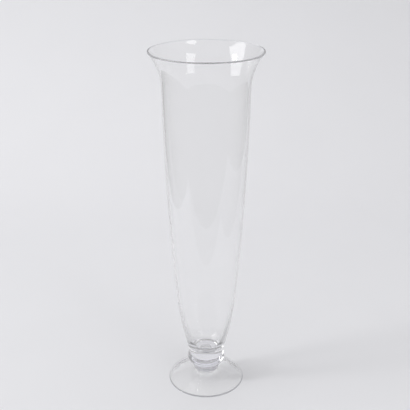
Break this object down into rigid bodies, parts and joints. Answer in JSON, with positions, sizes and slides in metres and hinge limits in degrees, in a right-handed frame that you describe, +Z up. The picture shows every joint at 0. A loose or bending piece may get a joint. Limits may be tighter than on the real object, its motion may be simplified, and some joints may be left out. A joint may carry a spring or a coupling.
{
  "type": "trumpet vase",
  "caption": "Tall footed vase of clear blown glass: a slender tapering bowl with a flared rim, a solid knop, a neck ring and a round spread foot.",
  "frame": {"origin": "centre of the plane that the foot stands on", "axes": "+Z up along the vase's axis of turning, which is also its longest side; X and Y are alike"},
  "size_m": [0.2154, 0.2154, 0.7],
  "materials": {
    "clear_glass": "polished"
  },
  "bodies": {
    "root": {"foot": "clear_glass", "neck_ring": "clear_glass", "knop": "clear_glass", "bowl": "clear_glass"}
  },
  "joints": []
}
